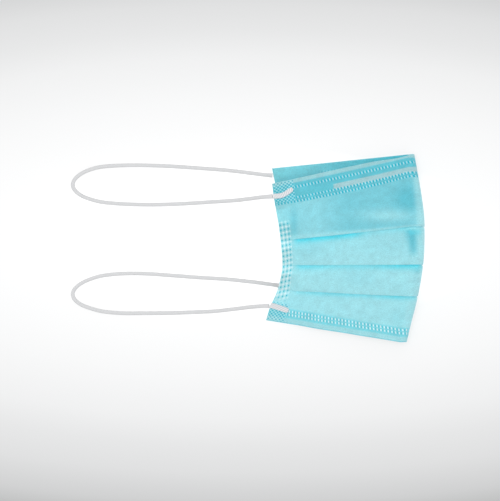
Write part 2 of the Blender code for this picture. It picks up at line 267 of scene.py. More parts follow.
@dataclass(frozen=True)
class FoldedSurface:
    """Smooth middle surface that the cloth and its fittings are laid out on, as in the CAD part."""

    half_length: float = 87.5 * MM
    wall: float = 1.0 * MM
    arch_height_top: float = 20.0 * MM
    fold_radius: float = 8.0 * MM
    lift: float = 1.5 * MM
    lift_start: float = 14.0 * MM
    lift_end: float = 32.0 * MM
    near_edge: Edge = Edge(-0.504, -0.545, 82.2 * MM, -2.4 * MM, 8.2 * MM, SIDE_SHAPE)
    far_edge: Edge = Edge(-0.504, -0.477, 82.2 * MM, 7.2 * MM, 8.2 * MM, SIDE_SHAPE)
    fold_edge: Edge = Edge(0.475, 0.423, 113.6 * MM, 0.0, 8.1 * MM, FOLD_SHAPE)
    # Rows of place down, then shares of the arch height at the side edge and at mid panel, and of the
    # fold radius at the fold
    arch: tuple = (
        (0.00, 0.41, 0.44, 0.46),
        (0.25, 0.74, 0.91, 0.84),
        (0.50, 0.90, 1.00, 1.00),
        (0.75, 0.72, 0.91, 0.86),
        (1.00, 0.26, 0.40, 0.46),
    )
    # Rows of a dent's middle (across, down), its depth as a share of the arch height, and its reach
    dents: tuple = (
        (0.95, 0.45, 0.09, 0.08, 0.05),
        (0.93, 0.64, 0.05, 0.07, 0.04),
        (0.88, 0.30, 0.05, 0.10, 0.06),
        (0.06, 0.58, 0.04, 0.04, 0.16),
    )

    def edge_point(self, edge: Edge, down: Array) -> tuple[Array, Array]:
        """Return the plan position of places down an upright edge."""
        x = (edge.x_top + (edge.x_bottom - edge.x_top) * down) * self.half_length
        x = x + edge.bow * smooth_table(edge.bow_shape, down)
        return x, edge.middle_y + edge.height * (0.5 - down)

    def turn_radius(self, down: Array) -> Array:
        """Return the radius of the turn at the fold."""
        return self.fold_radius * self.arch_share(3, down)

    def arch_share(self, column: int, down: Array) -> Array:
        """Return a column of the arch table, read at places down."""
        return smooth_table([(row[0], row[column]) for row in self.arch], down)

    def near_height(self, across: Array, down: Array) -> Array:
        """Return the height of the near half's middle surface."""
        side, middle = (self.arch_height_top * self.arch_share(column, down) for column in (1, 2))
        fold = self.wall / 2 + 2 * self.turn_radius(down)
        height = smooth_table([(-0.5, side), (0, side), (0.5, middle), (1, fold), (1.5, fold)], across)
        for at_across, at_down, depth, reach_across, reach_down in self.dents:
            dent = bump_at(across, down, (at_across, at_down), (reach_across, reach_down))
            height = height - depth * self.arch_height_top * dent * (1 - rise(across, 0.94, 1))
        return height

    def points(self, across: Array, down: Array) -> Array:
        """Return points of the middle surface, with x, y and z in the last axis."""
        radius = self.turn_radius(down)
        fold_x, fold_y = self.edge_point(self.fold_edge, down)
        fold_x = fold_x - radius
        near_x, near_y = self.edge_point(self.near_edge, down)
        far_x, far_y = self.edge_point(self.far_edge, down)
        near, far = np.clip(across, 0, 1), np.clip(3 - across, 0, 1)
        angle = math.pi * np.clip(across - 1, 0, 1)
        on_near, on_turn = across <= 1, across < 2
        x = np.where(on_turn, fold_x + radius * np.sin(angle), far_x + (fold_x - far_x) * far)
        x = np.where(on_near, near_x + (fold_x - near_x) * near, x)
        y = np.where(on_turn, fold_y, far_y + (fold_y - far_y) * far)
        y = np.where(on_near, near_y + (fold_y - near_y) * near, y)
        lift = self.lift * (1 - rise(far * self.half_length, self.lift_start, self.lift_end))
        z = np.where(on_turn, self.wall / 2 + radius * (1 + np.cos(angle)), self.wall / 2 + lift)
        z = np.where(on_near, self.near_height(near, down), z)
        return np.stack([x, y, z], axis=-1)

    def normals(self, across: Array, down: Array) -> Array:
        """Return unit normals of the middle surface, on the mask's outer side."""
        step = 0.002
        right, left = (self.points(np.clip(across + d, 0, 3), down) for d in (step, -step))
        below, above = (self.points(across, np.clip(down + d, 0, 1)) for d in (step, -step))
        normal = np.cross(below - above, right - left)
        return normal / np.linalg.norm(normal, axis=-1, keepdims=True)

    def height_at(self, across: Array) -> Array:
        """Return the length of the surface down each station, seen from above."""
        top, bottom = (self.points(across, np.full_like(across, end)) for end in (0.0, 1.0))
        return np.linalg.norm((top - bottom)[..., :2], axis=-1)

    def place(self, across: Array, fall: Array, offset: Array) -> Array:
        """Return points at a distance down from the top edge and out from the middle surface."""
        down = fall / self.height_at(across)
        return self.points(across, down) + self.normals(across, down) * np.asarray(offset)[..., None]


@dataclass(frozen=True)
class DotPattern:
    """Rows of round weld dots, with pale cloth standing up between them."""

    pitch: tuple        # from dot to dot, along the pattern's two axes, mm
    start: tuple        # one dot of the pattern, mm
    turn: float         # degrees
    radius: float       # of a dot, as a share of the pitch
    between: tuple      # where the pale cloth starts and where it is full, as shares of the pitch


@dataclass(frozen=True)
class SpunbondCloth:
    """Three-ply polypropylene nonwoven: thermal-bonded fibres, dyed sky blue outside and left white inside.

    The fibres scatter light softly, so it has no gloss, only a whitish sheen where it is seen flat on.
    """

    pale: str = "#a0dce5"
    # Painted shade: this darker blue goes over the first panel and into hollows
    deep_and_shade: str = "#63bccb"
    # Painted shade below the pleats and inside the far half; also the darker blue over the bottom hem
    crevice_shade_and_hem: str = "#5cd4e5"
    hem: str = "#62bfce"
    # Also the colour of the painted highlight on the pleats' top edges
    edge_band_and_highlight: str = "#98cbd2"
    strip_band: str = "#a0c9cf"
    raised: str = "#d0eef3"             # between the dashes and between the side weld's dots
    knurl: str = "#a6e0ea"              # between the dots under an elastic's end
    dot: str = "#14b4cc"
    inside: str = "#dfe2e2"
    roughness: float = 0.85
    dash_pitch: float = 1.95            # weld dashes along a hem, mm
    dash_slant: float = 12.0            # degrees off square to the hem
    side_dots: DotPattern = DotPattern((2.5, 3.1), (1.0, 0.6), 0, 0.16, (0.39, 0.60))
    knurl_dots: DotPattern = DotPattern((1.6, 1.6), (0, 0), 45, 0.25, (0.38, 0.56))
    fibre_size: float = 0.6             # bundle of fibres, drawn coarse so that it shows, mm
    fibre_shade: float = 0.14
    fibre_lift: float = 0.08            # mm
    cloud_size: float = 5.5             # thick and thin places in the web, mm
    cloud_shade: float = 0.06
    hem_range: float = 20.0             # reach of the hem's own rows, mm
    # Rows of weld dashes: mm from the edge, and how strongly a dash is pressed there
    top_rows: tuple = (
        (4.5, 0), (4.9, 1), (6.1, 1), (6.5, 0), (11.6, 0), (11.9, 1), (12.9, 1), (13.2, 0), (14.0, 0),
        (14.3, 1), (15.4, 1), (15.7, 0),
    )
    bottom_rows: tuple = ((4.6, 0), (4.9, 1), (5.9, 1), (6.2, 0), (6.6, 0), (6.9, 1), (7.9, 1), (8.2, 0))
    # Part of the wave that is a pressed dash, and part that is raised between two dashes
    dash_edges: tuple = ((0.50, 0.80), (0.50, 0.15))
    # How strongly the pressed and the raised parts show, for the top hem and the bottom hem
    dash_strengths: tuple = ((1.0, 0.5), (0.45, 1.0))

    def material(self) -> Material:
        """Build the cloth's material from its attributes: place, tint with painted shade, hem and weld."""
        material, tree, shader = start_material("spunbond_polypropylene_cloth")
        vectors, masks = {}, {}
        for name in ("place", "weave", "dye_and_shade", "hem", "weld"):
            vectors[name] = add_node(tree, "Attribute", attribute_name=name).outputs["Vector"]
            masks[name] = add_node(tree, "SeparateXYZ", {"Vector": vectors[name]}).outputs
        pressed, raised = self.hem_dashes(tree, vectors["place"], masks)
        side_dot, side_raised = self.weld_dots(tree, vectors["weave"], masks["weld"]["X"], self.side_dots)
        knurl_dot, knurl_raised = self.weld_dots(tree, vectors["place"], masks["weld"]["Y"], self.knurl_dots)
        fibres = noise_at(tree, vectors["weave"], 1 / self.fibre_size, distortion=1.2)
        clouds = noise_at(tree, vectors["weave"], 1 / self.cloud_size)

        # Colour: pale panels, painted shade over the first panel, in hollows and below the pleats, then the
        # hems' bands, painted highlights on the pleats' top edges, and the welds
        colour = linear(self.pale)
        for code, share in (
            (self.deep_and_shade, masks["dye_and_shade"]["X"]), (self.crevice_shade_and_hem, masks["dye_and_shade"]["Y"]), (self.hem, masks["hem"]["X"]),
            (self.strip_band, masks["hem"]["Y"]), (self.edge_band_and_highlight, masks["hem"]["Z"]), (self.raised, raised),
            (self.raised, side_raised), (self.knurl, knurl_raised), (self.dot, pressed), (self.dot, side_dot),
            (self.dot, knurl_dot),
        ):
            colour = mixed(tree, share, colour, linear(code))
        shades = [
            mapped(tree, source, (0.3, 0.7), (1 - change, 1 + change))
            for source, change in ((clouds, self.cloud_shade), (fibres, self.fibre_shade))
        ]
        colour = shaded(tree, colour, maths(tree, "MULTIPLY", *shades))
        colour = mixed(tree, masks["dye_and_shade"]["Z"], colour, linear(self.inside))

        # Relief in mm: fibres stand up, weld dots and dashes are pressed in
        relief = maths(tree, "MULTIPLY", fibres, self.fibre_lift)
        for socket, lift in ((pressed, -0.12), (side_dot, -0.1), (knurl_dot, -0.12), (raised, 0.06)):
            relief = maths(tree, "ADD", relief, maths(tree, "MULTIPLY", socket, lift))
        feed(tree, shader, {
            "Base Color": colour, "Normal": bumped(tree, relief, MM, 0.8), "Roughness": self.roughness,
            "IOR": 1.49, "Specular IOR Level": 0.25, "Sheen Weight": 0.30, "Sheen Roughness": 0.4,
            "Subsurface Weight": 0.45, "Subsurface Radius": (1.0, 1.2, 1.3), "Subsurface Scale": 0.8 * MM,
        })
        return material

    def hem_dashes(self, tree: NodeTree, place: NodeSocket, masks: dict) -> list:
        """Draw the hems' weld dashes: a slanted wave along the hem, shown only in its rows.

        Args:
            tree: The material's node tree.
            place: Along the hem, and mm from the top edge and from the bottom edge.
            masks: Parts of each of the cloth's attributes.

        Returns:
            How strongly the pressed dashes show, and the raised cloth between them.
        """
        slanted = add_node(
            tree, "Mapping", {"Vector": place, "Rotation": (0, 0, math.radians(self.dash_slant))}
        ).outputs[0]
        wave = add_node(
            tree, "TexWave", {"Vector": slanted, "Scale": math.pi / 10 / self.dash_pitch},
            wave_type="BANDS", bands_direction="X",
        ).outputs["Fac"]
        rows = []
        for axis, table in (("Y", self.top_rows), ("Z", self.bottom_rows)):
            share = maths(tree, "DIVIDE", masks["place"][axis], self.hem_range)
            stops = [(at / self.hem_range, (level, level, level, 1)) for at, level in table]
            rows.append(add_node(tree, "ValToRGB", {"Fac": share}, stops=stops).outputs[0])
        results = []
        for ends, strengths in zip(self.dash_edges, zip(*self.dash_strengths)):
            parts = [maths(tree, "MULTIPLY", row, strength) for row, strength in zip(rows, strengths)]
            shown = maths(tree, "MULTIPLY", maths(tree, "MAXIMUM", *parts), masks["weld"]["Z"])
            results.append(maths(tree, "MULTIPLY", shown, mapped(tree, wave, ends, kind="SMOOTHSTEP")))
        return results

    def weld_dots(
        self, tree: NodeTree, place: NodeSocket, mask: NodeSocket, dots: DotPattern
    ) -> list:
        """Draw a pattern of round dots.

        Args:
            tree: The material's node tree.
            place: Place on the cloth, mm.
            mask: Where the pattern shows.
            dots: The pattern.

        Returns:
            How strongly its dots show, and the raised cloth between them.
        """
        inputs = {
            "Vector": place, "Rotation": (0, 0, math.radians(dots.turn)),
            "Scale": (1 / dots.pitch[0], 1 / dots.pitch[1], 0),
            "Location": (-dots.start[0] / dots.pitch[0], -dots.start[1] / dots.pitch[1], 0),
        }
        cells = add_node(tree, "Mapping", inputs).outputs[0]
        away = add_node(
            tree, "TexVoronoi", {"Vector": cells, "Scale": 1.0, "Randomness": 0.0},
            voronoi_dimensions="2D",
        ).outputs["Distance"]
        edges = ((dots.radius * 1.3, dots.radius * 0.7), dots.between)
        return [maths(tree, "MULTIPLY", mapped(tree, away, ends, kind="SMOOTHSTEP"), mask) for ends in edges]


@dataclass(frozen=True)
class KnittedElastic:
    """Polyester knitted over spandex threads: a matt off-white cord with fine stitches round it."""

    thread: str = "#dedede"
    groove_shade: str = "#c6c5c6"
    roughness: float = 0.9
    stitch: float = 1.1        # length of a stitch along the cord, mm
    wales: int = 9             # columns of stitches round the cord

    def material(self) -> Material:
        """Build the knit from the cord's own rib attribute, in stitches along and columns round, with painted
        shade in its grooves.
        """
        material, tree, shader = start_material("knitted_polyester_elastic")
        rib = add_node(tree, "Attribute", attribute_name="rib").outputs["Vector"]
        parts = add_node(tree, "SeparateXYZ", {"Vector": rib}).outputs
        slack = noise_at(tree, rib, 1.7)
        # Painted shade: the knit's hollows between stitches are darker
        colour = mixed(tree, parts["Z"], linear(self.groove_shade), linear(self.thread))
        colour = shaded(tree, colour, mapped(tree, slack, (0.0, 1.0), (0.92, 1.06)))
        feed(tree, shader, {
            "Base Color": colour, "Normal": bumped(tree, slack, 0.08 * MM, 0.7), "Roughness": self.roughness,
            "IOR": 1.54, "Specular IOR Level": 0.3, "Sheen Weight": 0.1, "Sheen Roughness": 0.5,
        })
        return material


@dataclass(frozen=True)
class StripPlastic:
    """Extruded polyethylene over a soft iron wire: a smooth, faintly waxy white strip."""

    colour: str = "#dfe5e5"
    roughness: float = 0.42

    def material(self) -> Material:
        """Build the extruded strip, with its faint drag marks."""
        material, tree, shader = start_material("extruded_polyethylene_strip")
        place = add_node(tree, "TexCoord").outputs["Object"]
        drag = noise_at(tree, place, 900.0, detail=2.0)
        tinted = shaded(tree, linear(self.colour)[:3], mapped(tree, drag, (0.0, 1.0), (0.9, 1.0)))
        feed(tree, shader, {
            "Base Color": tinted, "Normal": bumped(tree, drag, 0.05 * MM, 0.4), "Roughness": self.roughness,
            "IOR": 1.51,
        })
        return material


@dataclass(frozen=True)
class LightTable:
    """Opal acrylic light table under the object, lit from beneath in a wide band and dimmer all round it."""

    acrylic: str = "#8a8a8a"
    roughness: float = 0.6
    middle_x: float = -0.0574
    middle_y: float = 0.006
    flatten: float = 0.37               # the bright pool is wider than it is deep
    reach: float = 0.4
    # Rows of distance from the middle, as a share of the reach, and the grey of the light from beneath
    glow: tuple = (
        (0.0, "#f8f8f8"), (0.115, "#f0f0f0"), (0.14, "#dcdcdc"), (0.21, "#d4d4d4"), (0.275, "#cacaca"),
        (0.315, "#bebebe"), (0.355, "#b5b5b5"), (0.40, "#a0a0a0"), (0.425, "#868786"), (0.6, "#7a7a7a"),
        (1.0, "#767676"),
    )

    def material(self) -> Material:
        """Build the acrylic, whose light from beneath fades slowly away from the middle."""
        material, tree, shader = start_material("opal_acrylic_light_table")
        inputs = {
            "Vector": add_node(tree, "TexCoord").outputs["Object"], "Scale": (self.flatten, 1, 1),
            "Location": (-self.middle_x * self.flatten, -self.middle_y, 0),
        }
        centred = add_node(tree, "Mapping", inputs).outputs[0]
        away = add_node(tree, "VectorMath", {0: centred}, operation="LENGTH").outputs["Value"]
        stops = [(at, linear(code)) for at, code in self.glow]
        share = mapped(tree, away, (0.0, self.reach))
        ramp = add_node(tree, "ValToRGB", {"Fac": share}, stops=stops)
        feed(tree, shader, {
            "Emission Color": ramp.outputs[0], "Emission Strength": 1.0, "Base Color": linear(self.acrylic),
            "Roughness": self.roughness, "IOR": 1.49, "Specular IOR Level": 0.1,
        })
        return material


def add_object(name: str, data: ID) -> Object:
    """Put a new object with its mesh, lamp or camera into the scene."""
    added = bpy.data.objects.new(name, data)
    bpy.context.scene.collection.objects.link(added)
    return added


def stand_in(piece: Object, node: str) -> None:
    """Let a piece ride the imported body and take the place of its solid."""
    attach(piece, "root")
    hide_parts(node)


def mesh_piece(name: str, points: Array, faces: list, material: Material) -> Object:
    """Make a smooth-shaded mesh object.

    Args:
        name: Name of the piece.
        points: Its vertices, one row each.
        faces: Its faces as vertex numbers.
        material: Its finish.

    Returns:
        The new object, at the origin.
    """
    mesh = bpy.data.meshes.new(name)
    mesh.from_pydata(points.tolist(), [], faces)
    mesh.polygons.foreach_set("use_smooth", [True] * len(mesh.polygons))
    mesh.materials.append(material)
    mesh.update()
    return add_object(name, mesh)


def give_attribute(piece: Object, name: str, values: Array) -> None:
    """Store a vector on each vertex of a piece for its material to read."""
    layer = piece.data.attributes.new(name, "FLOAT_VECTOR", "POINT")
    layer.data.foreach_set("vector", np.ascontiguousarray(values, np.float32).ravel())


@dataclass(frozen=True)
class Fold:
    """One pleat: its fold down the side edge and down the fold, and the painted shade in the cloth under it.
    """

    side: float
    fold: float
    reach: float        # how far down the colour fades out
    depth: tuple        # rows of share from side edge to fold and how deep the colour is there

    def at(self, share: Array) -> Array:
        """Return the pleat's place down at each share from side edge to fold."""
        return self.side + (self.fold - self.side) * share


PLEATS = (
    Fold(
        0.419, 0.387, 2.6 * MM,
        ((0.09, 0.0), (0.14, 1.0), (0.55, 1.0), (0.66, 0.35), (0.85, 0.3), (0.95, 0.5), (1.0, 0.3)),
    ),
    Fold(
        0.597, 0.589, 2.6 * MM,
        ((0.09, 0.0), (0.14, 0.7), (0.40, 0.5), (0.65, 0.5), (0.88, 0.9), (0.96, 1.0), (1.0, 1.0)),
    ),
    Fold(
        0.777, 0.756, 2.0 * MM,
        ((0.10, 0.0), (0.20, 0.4), (0.45, 0.6), (0.70, 0.5), (0.93, 0.8), (1.0, 0.6)),
    ),
)
# Lifts and hollows of the near half beside the middle surface's own: middle in plan, reach and lift, mm
LIFTS = (
    ((39.5, 3.6), (5.0, 6.5), -1.0), ((41.5, 27.5), (4.5, 8.0), -0.8), ((28.0, 20.0), (14.0, 3.6), 0.7),
    ((41.0, -14.6), (4.5, 2.6), -0.8), ((25.0, 4.0), (6.0, 8.0), 0.5),
)
# Soft creases, wide and fine: noise waves across, noise waves down, and place in the noise
WRINKLES = ((5.0, 3.4, 1.7), (11, 9, 5.2))
# Painted shade on the near half, and painted light where the amount is below 0: middle in plan and reach in
# mm, and how much darker
SHADE_AND_LIGHT_SPOTS = (
    ((38.0, 29.0), (8.0, 8.0), 0.35), ((26.0, 19.5), (17.0, 3.8), -0.55), ((-24.0, 0.0), (12.0, 6.0), 0.22),
    ((43.6, -13.9), (2.8, 2.8), 1.20), ((20.0, 4.0), (30.0, 8.0), 0.10), ((-31.0, 14.0), (2.2, 10.0), 0.35),
    ((8.0, -17.0), (9.0, 6.0), 0.12), ((33.0, -42.0), (6.0, 8.0), 0.12),
)


def fold_share(across: Array) -> Array:
    """Return 0 at a side edge and 1 at the fold."""
    return np.where(across < 1, across, np.clip(3 - across, 0, 1))


@dataclass
class ClothGrid:
    """Where each vertex of a skin lies, one row a station."""

    surface: FoldedSurface
    across: Array
    fall: Array            # distance down from the top edge
    travelled: Array       # distance down the sheet itself, in and out of its pleats, mm
    # Rows of share from side edge to fold and what the hem's width is divided by there
    hem_taper: tuple = ((0, 1.16), (0.25, 1.07), (0.5, 1.035), (0.75, 1.04), (1.0, 1.09))

    def __post_init__(self) -> None:
        """Work out the other measures of each vertex."""
        height = self.surface.height_at(self.across[:, 0])[:, None]
        self.height = np.broadcast_to(height, self.fall.shape)
        self.down = np.clip(self.fall / self.height, 0, 1)
        self.share = fold_share(self.across)
        self.in_mm = self.share * self.surface.half_length / MM
        self.up_mm = (self.height - self.fall) / MM
        self.hem_mm = self.fall / MM * smooth_table(self.hem_taper, self.share)
        spots = self.surface.points(self.across, self.down) / MM
        self.x, self.y = spots[..., 0], spots[..., 1]


@dataclass
class MaskCloth:
    """The pleated sheet of the mask: turned-in hems, three pleats that lap downwards, folded in half."""

    surface: FoldedSurface
    top_flap: float = 16.0 * MM
    bottom_flap: float = 8.0 * MM
    strip_down: float = 10.5 * MM
    strip_width: float = 3.4 * MM
    strip_length: float = 104.0 * MM
    strip_hidden: float = 3.0           # length of the strip's end that leaves no ridge, mm
    pocket_width: float = 5.2 * MM      # room for the strip between the layers of the top hem
    pocket_depth: float = 2.4 * MM
    pocket_top: float = 3.0 * MM        # the flap lies close again this far below the top edge
    pleat_depth_side: float = 10.0 * MM
    pleat_depth_fold: float = 5.0 * MM
    slack: float = 0.04 * MM            # between two layers that lie on each other
    tuck_end: float = 0.8 * MM          # the layer under a fold lies flat until this far above the fold
    rise_end: float = 1.2 * MM          # and has come up this far below it
    top_sag: float = 1.15 * MM
    near_columns: int = 154
    turn_columns: int = 15
    far_columns: int = 64
    flap_rows: int = 12                 # rows of the top hem's turned-in flap
    pleat_rows: tuple = (26, 17, 15)    # rows from one pleat to the next
    # Rows of share from side edge to fold and thickness of one layer, mm: thin where the side weld pressed it
    layer_table: tuple = ((0, 0.18), (0.06, 0.20), (0.13, 0.32), (1.0, 0.32))
    # Rows laid so far: distance down from the top edge, and out from the middle surface
    falls: list = field(default_factory=list)
    outs: list = field(default_factory=list)

    def stations(self) -> Array:
        """Return the stations across, near side edge to far side edge."""
        near = np.linspace(0, 1, self.near_columns, endpoint=False)
        turn = np.linspace(1, 2, self.turn_columns)
        far = 2 + np.linspace(0, 1, self.far_columns + 1)[1:]
        return np.concatenate([near, turn, far])

    def layer(self, across: Array) -> Array:
        """Return the thickness of one layer."""
        return MM * smooth_table(self.layer_table, fold_share(across))

    def add_run(self, fall: Array, out: Array, count: int) -> None:
        """Add rows in a straight run from the last row to a new place.

        Args:
            fall: Distance down from the top edge, one value a station.
            out: Distance out from the middle surface, one value a station.
            count: How many rows to add.
        """
        last_fall, last_out = self.falls[-1], self.outs[-1]
        for i in range(1, count + 1):
            self.falls.append(last_fall + (fall - last_fall) * i / count)
            self.outs.append(last_out + (out - last_out) * i / count)

    def add_turn(self, facing: int, depth: Array, count: int, sign: int) -> None:
        """Add rows round a half circle from the last row.

        Args:
            facing: 1 where the round side points down the mask, -1 where it points up.
            depth: Distance between the two layers that the turn joins, one value a station.
            count: How many rows to add.
            sign: -1 where the line goes on below the last row, 1 above it.
        """
        fall, out = self.falls[-1], self.outs[-1]
        for i in range(1, count + 1):
            angle = math.pi * i / count
            self.falls.append(fall + facing * depth / 2 * math.sin(angle))
            self.outs.append(out + sign * depth / 2 * (1 - math.cos(angle)))

    def lay_rows(self, across: Array) -> tuple[Array, Array]:
        """Lay the sheet's middle line down every station.

        Args:
            across: The stations.

        Returns:
            Distance down from the top edge and distance out from the middle surface, one row a station.
        """
        surface = self.surface
        height = surface.height_at(across)
        share = fold_share(across)
        zero = np.zeros_like(across)
        layer = self.layer(across)
        pitch = layer + self.slack
        edge = pitch / 2 + layer / 2
        reach = 1 - self.strip_length / 2 / surface.half_length
        flap = -(pitch + (self.pocket_depth - pitch) * rise(share, reach - 0.06, reach - 0.01))

        # Turned-in flap of the top hem, from its cut edge up to the top edge, and the hem's outer face
        self.falls, self.outs = [zero + self.top_flap], [-pitch]
        self.add_run(zero + self.strip_down + self.pocket_width / 2, flap, 3)
        self.add_run(zero + self.strip_down - self.pocket_width / 2, flap, 3)
        self.add_run(zero + self.pocket_top, -pitch, 3)
        self.add_run(edge, -pitch, 2)
        self.add_turn(-1, pitch, 6, 1)
        self.add_run(zero + self.top_flap, zero, 30)

        # Each pleat: down to its fold, back up under itself, and down again below it
        depth = self.pleat_depth_side
        depth = depth + (self.pleat_depth_fold - self.pleat_depth_side) * rise(share, 0, 1)
        # Where the cloth comes back up to its own level at once: in the side weld and round the fold
        level = np.maximum(1 - rise(share, 0.06, 0.15), rise(share, 0.90, 0.985))
        sunk, last = zero, zero + self.top_flap
        for pleat, count in zip(PLEATS, self.pleat_rows):
            at = pleat.at(share) * height
            turn_at = at - edge
            inner = at - depth
            base = sunk * (1 - (inner - last) / (turn_at - last))
            above = int(round(count * 0.7))
            self.add_run(inner, base, above)
            self.add_run(turn_at, zero, count - above)
            self.add_turn(1, pitch, 6, -1)
            self.add_run(inner + pitch / 2, base - pitch, 4)
            self.add_turn(-1, pitch, 4, -1)
            self.add_run(at - self.tuck_end, -2 * pitch, 3)
            self.add_run(at, -1.9 * pitch, 2)
            # Below the fold the cloth still lies low by most of the step, or by little where it is level
            sunk = -2 * pitch * (0.6 - 0.52 * level)
            last = at + self.rise_end
            self.add_run(last, sunk, 3)

        # Bottom panel and its turned-in flap
        flap_start = height - self.bottom_flap
        self.add_run(flap_start, zero, 14)
        self.add_run(height - edge, zero, 14)
        self.add_turn(1, pitch, 6, -1)
        self.add_run(flap_start, -pitch, 5)
        return np.array(self.falls).T, np.array(self.outs).T

    def strip_mask(self, grid: ClothGrid, soft: float) -> Array:
        """Return 1 over the nose strip, as far as it shows through the hem."""
        start = (self.surface.half_length - self.strip_length / 2) / MM + self.strip_hidden
        middle, half = self.strip_down / MM, self.strip_width / 2 / MM
        over = band(grid.hem_mm, middle - half, middle + half, soft)
        return over * rise(grid.in_mm, start - 0.5, start + 0.5)

    def wedge(self, grid: ClothGrid) -> Array:
        """Return 1 inside the hollow by the fold, a wedge below the first pleat, set out in mm in plan."""
        x, y = grid.x, grid.y
        open_share = rise(y, -4.0, 10.0)
        left, right = 39.6 - 2.8 * open_share, 43.9 + 1.2 * open_share
        sides = rise(x, left - 3.6, left + 2.6) * (1 - rise(x, right - 0.7, right + 0.7))
        return sides * rise(y, -7.0, -1.0) * (1 - rise(y, 10.0, 10.8))

    def relief(self, grid: ClothGrid) -> Array:
        """Return the small lifts and hollows of the near half, out from the middle surface."""
        across, down = grid.across, grid.down
        near = 1 - rise(across, 1.25, 1.5)      # the near half, as far as round the fold
        near_fade = rise(grid.share, 0.0, 0.06) * near
        out = 0.25 * self.strip_mask(grid, 0.5) * near
        # Puffed cloth beside the side weld
        out = out - 0.3 * band(grid.in_mm, 7.5, 11.5, 1.5) * band(down, 0.2, 0.85, 0.08) * near
        for centre, size, lift in LIFTS:
            out = out + lift * bump_at(grid.x, grid.y, centre, size) * near_fade
        out = out - 0.9 * self.wedge(grid) * near
        places = list(zip(across.ravel(), down.ravel()))
        wide, fine = (
            np.array([noise.noise(Vector((a * u, d * v, seed))) for a, d in places])
            for u, v, seed in WRINKLES
        )
        wrinkles = (wide * 0.5 + fine * 0.2).reshape(across.shape)
        # The hems, with the strip in one of them, and the welded corners stay flat
        corner = rise(down, 0.84, 0.92) * (1 - rise(grid.in_mm, 14, 20))
        flat = rise(grid.fall / MM, 15, 20) * (1 - corner)
        return (out + wrinkles * flat * near_fade * (1 - rise(across, 0.95, 1.1))) * MM

    def build(self) -> Object:
        """Build the sheet's two skins, close their rims, and give each vertex its place, its tint and its
        painted shade.
        """
        surface = self.surface
        stations = self.stations()
        fall, out = self.lay_rows(stations)
        across = np.broadcast_to(stations[:, None], fall.shape)
        # The near half's top edge sags a little beside the fold and shows the far half's inner face
        fall = fall + self.top_sag * bump_at(across, fall, (0.94, 0.0), (0.14, 10.0 * MM)) * (across < 1.4)
        layer = self.layer(across)
        along_fall, along_out = (np.gradient(line, axis=1) for line in (fall, out))
        length = np.hypot(along_fall, along_out)
        along_fall, along_out = along_fall / length, along_out / length
        steps = np.hypot(np.diff(fall, axis=1, prepend=fall[:, :1]), np.diff(out, axis=1, prepend=out[:, :1]))
        grid = ClothGrid(surface, across, fall, np.cumsum(steps, axis=1) / MM)
        relief = self.relief(grid)
        skins = []
        for sign in (1, -1):
            skin_fall = fall - sign * along_out * layer / 2
            skin_out = out + sign * along_fall * layer / 2 + surface.wall / 2 - layer / 2
            skins.append(surface.place(across, np.clip(skin_fall, 0, grid.height), skin_out + relief))
        points = np.concatenate([skin.reshape(-1, 3) for skin in skins])
        piece = mesh_piece("mask_cloth", points, self.skin_faces(*fall.shape), SpunbondCloth().material())
        self.dress(piece, grid)
        return piece

    def skin_faces(self, count: int, rows: int) -> list:
        """Return the faces of the two skins and of the rims that close them."""
        at = np.arange(count * rows).reshape(count, rows)
        to_inner = count * rows
        outer = np.stack([at[:-1, :-1], at[:-1, 1:], at[1:, 1:], at[1:, :-1]], axis=-1).reshape(-1, 4)
        faces = outer.tolist() + (outer[:, [0, 3, 2, 1]] + to_inner).tolist()
        for line, turned in ((at[0], False), (at[-1], True), (at[:, 0], True), (at[:, -1], False)):
            here, after = line[:-1], line[1:]
            rim = np.stack([here, here + to_inner, after + to_inner, after], axis=-1)
            faces += (rim[:, ::-1] if turned else rim).tolist()
        return faces

    def shade_and_light_share(self, grid: ClothGrid) -> Array:
        """Return how dark the panels' blue looks: painted shade over the first panel, in hollows and under
        the hem, painted light on one lit patch, and a painted highlight at the fold's edge.
        """
        first = 1 - rise(grid.down, 0.37, 0.40)
        deep_and_shade = first * (0.40 + 0.32 * rise(grid.share, 0.25, 0.55)) + (1 - first) * 0.04
        for centre, size, more in SHADE_AND_LIGHT_SPOTS:
            deep_and_shade = deep_and_shade + more * bump_at(grid.x, grid.y, centre, size)
        # Painted shade in the hollow by the fold
        deep_and_shade = deep_and_shade + 0.92 * self.wedge(grid)
        # A painted highlight makes the very edge of the fold paler
        return np.clip(deep_and_shade - 0.7 * band(grid.across, 1.12, 1.6, 0.10), 0, 1)

    def pleat_shade_and_highlight(self, grid: ClothGrid) -> tuple[Array, Array]:
        """Return the painted shade just below each pleat's fold, and the painted highlight on the pale rim
        just above it.
        """
        crevice_shade_and_hem, lip_highlight = np.zeros_like(grid.fall), np.zeros_like(grid.fall)
        run_out = 1 - rise(grid.across, 1.2, 1.45)
        for pleat in PLEATS:
            below = (grid.fall - pleat.at(grid.share) * grid.height) / MM
            fade = np.exp(-((np.clip(below, 0, None) * MM / pleat.reach) ** 2)) * (below > -0.25)
            crevice_shade_and_hem = np.maximum(crevice_shade_and_hem, fade * smooth_table(pleat.depth, grid.share) * run_out)
            lip_highlight = np.maximum(lip_highlight, band(below, -1.1, -0.35, 0.2) * rise(grid.share, 0.12, 0.2))
        return crevice_shade_and_hem, lip_highlight

